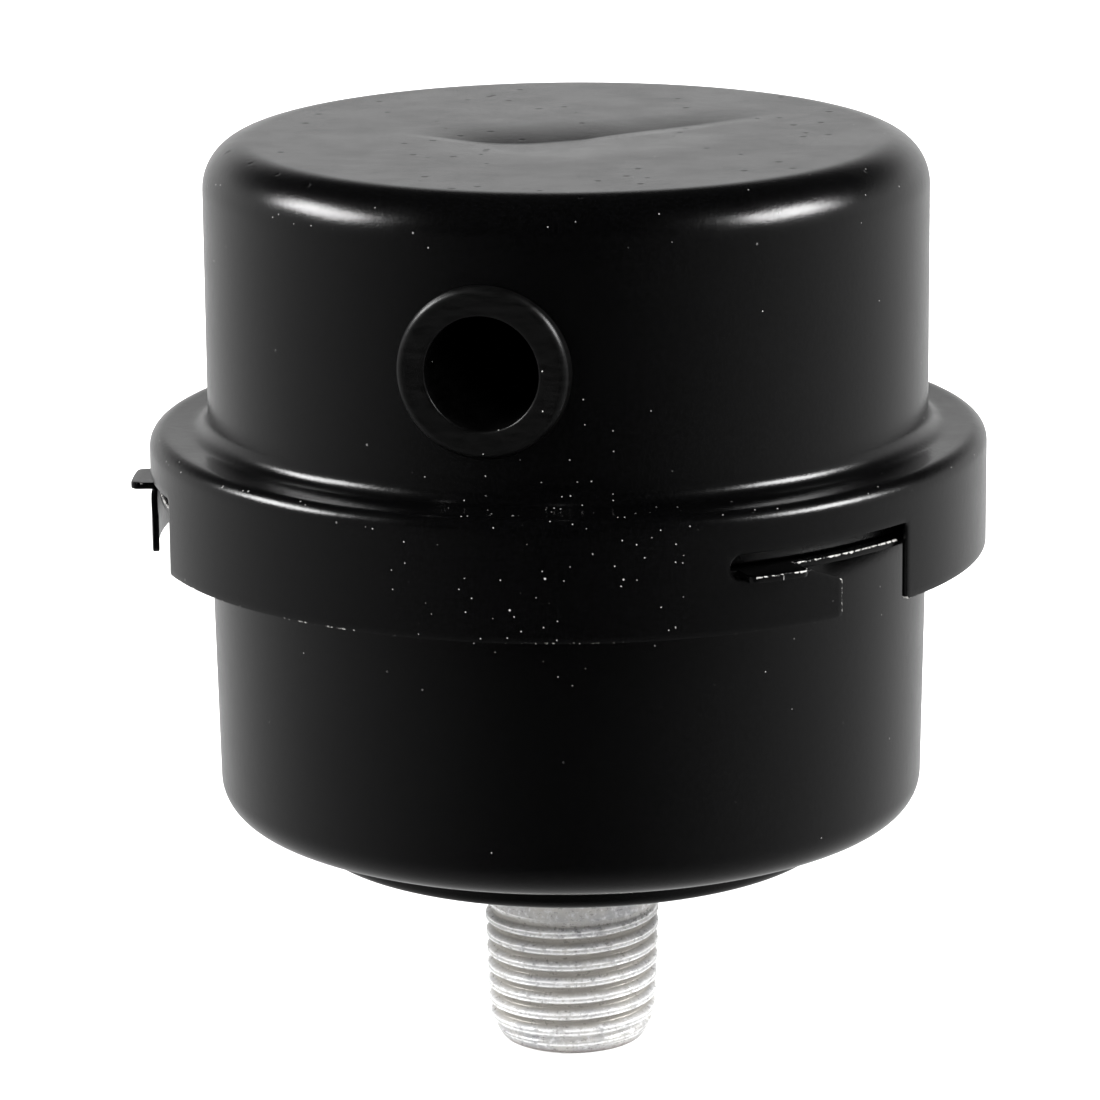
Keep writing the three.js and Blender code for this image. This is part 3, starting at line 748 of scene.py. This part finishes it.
def thread_radius(angle, height):
    """The stub's outer radius: a shallow cast thread with raised edges on its crests, which runs out into
    the plain shank, a rounded lower end, and a broken parting line on two sides."""
    side = thread_side(angle, height)
    drop = THREAD_DEPTH * smooth((side - CREST) / 0.6)
    lip = 0.055 * math.exp(-(((side - CREST) / 0.08) ** 2))
    place = Vector((math.sin(angle) * 6, math.cos(angle) * 6, height))
    wear = 0.03 * noise.noise(place * 1.1) + 0.015 * noise.noise(place * 3.5)
    crest = THREAD_CREST_R + THREAD_TAPER * height
    radius = crest - drop + lip + wear
    seam = abs(math.sin(angle - PHOTO_AZIMUTH)) * 6.5
    if seam < 0.3 and noise.noise(place * 0.9 + Vector((0, 0, 40))) > -0.15:
        radius += 0.05 * (1 - seam / 0.3)
    run_out = min(1.0, max(0.0, (height - THREAD_TOP + 0.9) / 0.9))
    radius = radius * (1 - run_out) + SHANK_R * run_out
    end = STUB_END_R + (crest + 0.05 - STUB_END_R) * min(1.0, height / STUB_END_CHAMFER) ** 0.62
    return min(radius, end)


def mark_crests(piece):
    """Writes the attributes "crest", 0 at the bottom of the thread's grooves and 1 elsewhere, which places
    the painted shade in the grooves, and a second one, 1 along the edges of its crests, which places the
    painted glint lines."""
    crests, painted_glints = [], []
    for vertex in piece.data.vertices:
        x, y, z = vertex.co / MM
        depth = THREAD_CREST_R + THREAD_TAPER * z - math.hypot(x, y)
        threaded = 0.6 < z < THREAD_TOP and depth < 1
        side = thread_side(math.atan2(x, -y), z)
        crests.append(1 - min(1.0, max(0.0, depth) / THREAD_DEPTH) if threaded and z > 1.8 else 1.0)
        # Where the painted glint lines go: along the edges of the crests
        painted_glints.append(math.exp(-(((side - CREST) / 0.13) ** 2)) if threaded else 0.0)
    piece.data.attributes.new("crest", "FLOAT", "POINT").data.foreach_set("value", crests)
    piece.data.attributes.new("painted_glint", "FLOAT", "POINT").data.foreach_set("value", painted_glints)


def build_stub(material):
    """The stub from its end up: the thread, the shank, the shoulder, the neck through the cup's bottom and
    the swaged rim inside, and down again along the bore."""
    steps = 200
    turns = [2 * math.pi * i / steps for i in range(steps)]
    rows = []

    def ring(radius, height):
        rows.append([polar(radius, t, height) for t in turns])

    for radius in (STUB_BORE_R + 0.3, 4.8, STUB_END_R - 0.1):
        ring(radius, 0.0)
    height = 0.05
    while height < THREAD_TOP + 0.1:
        rows.append([polar(thread_radius(t, height), t, height) for t in turns])
        height += THREAD_PITCH / 22
    seat = STEP_UNDERSIDE - FIT_GAP
    shoulder = seat - STUB_SHOULDER_THICKNESS
    swage = STEP_UNDERSIDE + SHEET + WASHER_THICKNESS + 3 * FIT_GAP
    for radius, level in (
        (SHANK_R, THREAD_TOP + 0.4),
        (SHANK_R, shoulder - 0.3),
        (SHANK_R + 0.1, shoulder),
        (STUB_SHOULDER_R - 0.3, shoulder),
        (STUB_SHOULDER_R - 0.08, shoulder + 0.08),
        (STUB_SHOULDER_R, shoulder + 0.3),
        (STUB_SHOULDER_R, seat),
        (STUB_NECK_R, seat),
        (STUB_NECK_R, swage),
        (STUB_SHOULDER_R - 0.05, swage),
        (STUB_SHOULDER_R, swage + 0.1),
        (STUB_SHOULDER_R - 0.2, swage + 0.45),
        (STUB_SHOULDER_R - 0.9, swage + 0.72),
        (STUB_NECK_R, swage + 0.9),
        (STUB_BORE_R + 0.3, swage + 0.9),
        (STUB_BORE_R, swage + 0.6),
        (STUB_BORE_R, 9.0),
        (STUB_BORE_R, 0.3),
    ):
        ring(radius, level)
    vertices, faces = turned_grid(rows, True)
    piece = object_from("threaded_stub_casting", vertices, faces)
    apply_modifiers(piece, 50)
    mark_crests(piece)
    return finish_piece(piece, "base", "cast_aluminium", material, "threaded_stub")


# ---- Filter pack ---------------------------------------------------------------------------------------

PACK_R = 30.0
GASKET_INNER_R = 28.0
DISH_DEPTH = 10.0
DISH_R = 25.6
DISH_BEND_R = 1.0
PLATE_Z = FLANGE_TOP - 2 * SHEET - 2 * FIT_GAP
DISH_RIM = PLATE_Z - FIT_GAP - SHEET
DISH_FLOOR = DISH_RIM - DISH_DEPTH
HOLE_R = 2.0
HOLE_PITCH = 6.8
HOLE_FIELD_R = 22.5
PACK_STEPS = 144


def hole_centres():
    row_pitch = HOLE_PITCH * math.sqrt(3) / 2
    reach = math.ceil(HOLE_FIELD_R / row_pitch)
    for row in range(-reach, reach + 1):
        for column in range(-reach, reach + 1):
            x = HOLE_PITCH * (column + (0.5 if row % 2 else 0))
            if math.hypot(x, row_pitch * row) <= HOLE_FIELD_R:
                yield Vector((x, row_pitch * row))


def perforated_disc(radius, height):
    """A flat disc with the round holes, as triangles, its rim on the turned columns."""
    rim = [polar(radius, 2 * math.pi * i / PACK_STEPS, 0) / MM for i in range(PACK_STEPS)]
    loops = [[Vector((p.x, p.y)) for p in rim]]
    for centre in hole_centres():
        turns = [2 * math.pi * i / 24 for i in range(24)]
        loops.append([centre + HOLE_R * Vector((math.cos(t), -math.sin(t))) for t in turns])
    points, loop_indices = [], []
    for loop in loops:
        loop_indices.append(list(range(len(points), len(points) + len(loop))))
        points += loop
    edges = [(loop[i - 1], loop[i]) for loop in loop_indices for i in range(len(loop))]
    flat, _, faces, *_ = delaunay_2d_cdt(points, edges, [], 0, 1e-5)
    centres = list(hole_centres())

    def kept(face):
        middle = sum((flat[i] for i in face), Vector((0, 0))) / len(face)
        return all((middle - c).length > HOLE_R * 0.99 for c in centres) and middle.length < radius

    vertices = [Vector((p.x, p.y, height)) * MM for p in flat]
    return vertices, [tuple(face) for face in faces if kept(face)]


def build_upper_screen(material):
    vertices, faces = perforated_disc(PACK_R, PLATE_Z)
    piece = object_from("upper_screen_plate", vertices, faces)
    thicken(piece, SHEET, 1)
    round_edges(piece, 0.05)
    apply_modifiers(piece, 38)
    return finish_piece(piece, "base", "plated_steel", material, "upper_screen")


def build_lower_screen(material):
    floor_r = DISH_R - DISH_BEND_R
    outline = [(floor_r, DISH_FLOOR)]
    outline += arc((floor_r, DISH_FLOOR + DISH_BEND_R), DISH_BEND_R, -90, 0, 8)[1:]
    outline += arc((DISH_R + DISH_BEND_R, DISH_RIM - DISH_BEND_R), DISH_BEND_R, 180, 90, 8)
    outline += run((DISH_R + DISH_BEND_R, DISH_RIM), (PACK_R, DISH_RIM), 1.0)[1:] + [(PACK_R, DISH_RIM)]
    rows = [[polar(r, 2 * math.pi * i / PACK_STEPS, z) for i in range(PACK_STEPS)] for r, z in outline]
    vertices, faces = turned_grid(rows, False)
    disc_vertices, disc_faces = perforated_disc(floor_r, DISH_FLOOR)
    base = len(vertices)
    vertices += disc_vertices
    faces += [tuple(base + i for i in face) for face in disc_faces]
    piece = object_from("lower_screen_dish", vertices, faces)
    face_outwards(piece)
    thicken(piece, SHEET)
    round_edges(piece, 0.05)
    apply_modifiers(piece, 38)
    return finish_piece(piece, "base", "plated_steel", material, "lower_screen")


def build_ring(name, outline, body, slot, material, node):
    rows = [[polar(r, 2 * math.pi * i / PACK_STEPS, z) for i in range(PACK_STEPS)] for r, z in outline]
    vertices, faces = turned_grid(rows, True)
    piece = object_from(name, vertices, faces)
    apply_modifiers(piece, 38)
    return finish_piece(piece, body, slot, material, node)


def build_washer(material):
    low = STEP_UNDERSIDE + SHEET + FIT_GAP
    high = low + WASHER_THICKNESS
    outline = [(STUB_HOLE_R, low), (WASHER_R - 0.1, low), (WASHER_R, low + 0.1)]
    outline += [(WASHER_R, high - 0.1), (WASHER_R - 0.1, high), (STUB_HOLE_R, high)]
    build_ring("backing_washer_ring", outline, "base", "plated_steel", material, "backing_washer")


def build_gasket(material):
    low, high = RIM_TOP + FIT_GAP, DISH_RIM - FIT_GAP
    soft = 0.25
    inner, outer = GASKET_INNER_R + soft, PACK_R - soft
    outline = arc((inner, low + soft), soft, 180, 270, 3) + arc((outer, low + soft), soft, -90, 0, 3)
    outline += arc((outer, high - soft), soft, 0, 90, 3) + arc((inner, high - soft), soft, 90, 180, 3)
    build_ring("rim_gasket_ring", outline, "base", "black_rubber", material, "rim_gasket")


def build_pad(material):
    """The foam disc, its edges soft and its faces slightly uneven."""
    low, high = DISH_FLOOR + SHEET + 0.1, PLATE_Z - 0.1
    radius, soft = 24.75, 0.9
    outline = run((0.05, low), (radius - soft, low), 0.9)
    outline += arc((radius - soft, low + soft), soft, -90, 0, 6)[:-1]
    outline += run((radius, low + soft), (radius, high - soft), 0.9)
    outline += arc((radius - soft, high - soft), soft, 0, 90, 6)[:-1]
    outline += list(reversed(run((0.05, high), (radius - soft, high), 0.9)))
    middle = Vector((0, 0, (low + high) / 2)) * MM

    def foam_point(radius_mm, turn, height):
        point = polar(radius_mm, turn, height)
        inwards = 0.004 * (0.6 + noise.noise(point / (2.2 * MM)))
        return point + (middle - point) * inwards

    rows = [[foam_point(r, 2 * math.pi * i / PACK_STEPS, z) for i in range(PACK_STEPS)] for r, z in outline]
    vertices, faces = turned_grid(rows, False)
    last = (len(rows) - 1) * PACK_STEPS
    faces += [tuple(range(PACK_STEPS)), tuple(range(last + PACK_STEPS - 1, last - 1, -1))]
    piece = object_from("filter_pad_foam", vertices, faces)
    apply_modifiers(piece, 60)
    finish_piece(piece, "base", "filter_foam", material, "filter_pad")
    return piece


# ---- Stage ---------------------------------------------------------------------------------------------

BACKDROP_LOW = 0.004
BACKDROP_HIGH = 0.84


def build_floor():
    """A wide plain floor under the stub's end."""
    half = 6.0
    cells = 12
    width = cells + 1
    lines = [-half + 2 * half * i / cells for i in range(width)]
    vertices = [Vector((x, y, 0)) for y in lines for x in lines]
    faces = [
        (j * width + i, j * width + i + 1, (j + 1) * width + i + 1, (j + 1) * width + i)
        for j in range(cells)
        for i in range(cells)
    ]
    floor = object_from("floor", vertices, faces)
    n = Nodes("pale_floor")
    n.set(n.shader, {"Base Color": (0.9, 0.9, 0.9, 1), "Roughness": 0.9, "Specular IOR Level": 0.0})
    floor.data.materials.append(n.material)
    floor.visible_glossy = False


def build_world():
    """A bright backdrop behind the object up to shoulder height, dark above and behind the camera."""
    world = bpy.data.worlds.new("studio")
    bpy.context.scene.world = world
    world.use_nodes = True
    tree = world.node_tree
    place = tree.nodes.new("ShaderNodeTexCoord").outputs["Generated"]

    def node(kind, values, output, **settings):
        made = tree.nodes.new(kind)
        for key, value in settings.items():
            setattr(made, key, value)
        for key, value in values.items():
            if isinstance(value, bpy.types.NodeSocket):
                tree.links.new(value, made.inputs[key])
            else:
                made.inputs[key].default_value = value
        return made.outputs[output]

    def fade(value, start, end, low, high):
        values = {"Value": value, "From Min": start, "From Max": end, "To Min": low, "To Max": high}
        return node("ShaderNodeMapRange", values, "Result", interpolation_type="SMOOTHSTEP")

    turned = PHOTO_AZIMUTH - math.radians(3)
    towards = (math.sin(turned), -math.cos(turned), 0)
    facing = node("ShaderNodeVectorMath", {0: place, 1: towards}, "Value", operation="DOT_PRODUCT")
    height = node("ShaderNodeSeparateXYZ", {0: place}, "Z")
    round_about = node(
        "ShaderNodeMapRange",
        {"Value": facing, "From Min": 1.0, "From Max": -1.0, "To Min": BACKDROP_LOW, "To Max": BACKDROP_HIGH},
        "Result",
    )
    up = fade(height, 0.12, 0.52, 1.0, 0.03)
    strength = node("ShaderNodeMath", {0: round_about, 1: up}, "Value", operation="MULTIPLY")
    tree.links.new(strength, tree.nodes["Background"].inputs["Strength"])
    tree.nodes["Background"].inputs["Color"].default_value = (1, 1, 1, 1)


def add_light(name, kind, energy, azimuth, elevation, distance, size, seen_in_gloss=True):
    """A light that looks at the object's middle. azimuth is counted from the camera's side, towards its
    right."""
    data = bpy.data.lights.new(name, kind)
    data.energy = energy
    if kind == "AREA":
        data.shape = "RECTANGLE"
        data.size, data.size_y = size
    else:
        data.angle = size
    light = bpy.data.objects.new(name, data)
    bpy.context.scene.collection.objects.link(light)
    turn, rise = PHOTO_AZIMUTH + math.radians(azimuth), math.radians(elevation)
    back = Vector((math.sin(turn) * math.cos(rise), -math.cos(turn) * math.cos(rise), math.sin(rise)))
    light.location = Vector((0, 0, 0.04)) + back * distance
    light.rotation_mode = "QUATERNION"
    light.rotation_quaternion = (-back).to_track_quat("-Z", "Y")
    light.visible_glossy = seen_in_gloss
    return light


def build_lights():
    add_light("left_softbox", "AREA", 6.3, -91, 32, 0.8, (0.42, 0.2))
    add_light("right_softbox", "AREA", 6.6, 80, 32, 0.8, (0.38, 0.2))
    for azimuth in (20, 92, 164, 236, 308):
        add_light(f"fill_{azimuth}", "SUN", 2.2, azimuth, 32, 2.0, 0.5, seen_in_gloss=False)


def build_camera():
    """A long lens a little above the object, aimed slightly left of its axis and tilted as in the photo."""
    distance, height = 0.4013, 0.1411
    aside = 0.00146
    aim = Vector((0, 0, 0.0388)) - Vector((math.cos(PHOTO_AZIMUTH), math.sin(PHOTO_AZIMUTH), 0)) * aside
    data = bpy.data.cameras.new("camera")
    data.lens = 177.0
    data.sensor_width = 36.0
    data.clip_start, data.clip_end = 0.01, 50
    camera = bpy.data.objects.new("camera", data)
    bpy.context.scene.collection.objects.link(camera)
    camera.location = (distance * math.sin(PHOTO_AZIMUTH), -distance * math.cos(PHOTO_AZIMUTH), height)
    look = (aim - camera.location).to_track_quat("-Z", "Y")
    tilt = Matrix.Rotation(math.radians(-0.53), 4, "Z").to_quaternion()
    camera.rotation_mode = "QUATERNION"
    camera.rotation_quaternion = look @ tilt
    bpy.context.scene.camera = camera


# ---- Assembly ------------------------------------------------------------------------------------------

build_camera()
build_world()
build_lights()
build_floor()
bpy.context.scene.view_settings.view_transform = "Standard"

steel = plated_steel()
build_cover(enamel("cover_enamel", ENAMEL_WEAR))
build_bushing(moulded_plastic())
build_base(enamel("cup_enamel", ENAMEL_WEAR))
build_stub(cast_aluminium())
build_upper_screen(steel)
build_lower_screen(steel)
build_pad(filter_foam())
build_washer(steel)
build_gasket(black_rubber())
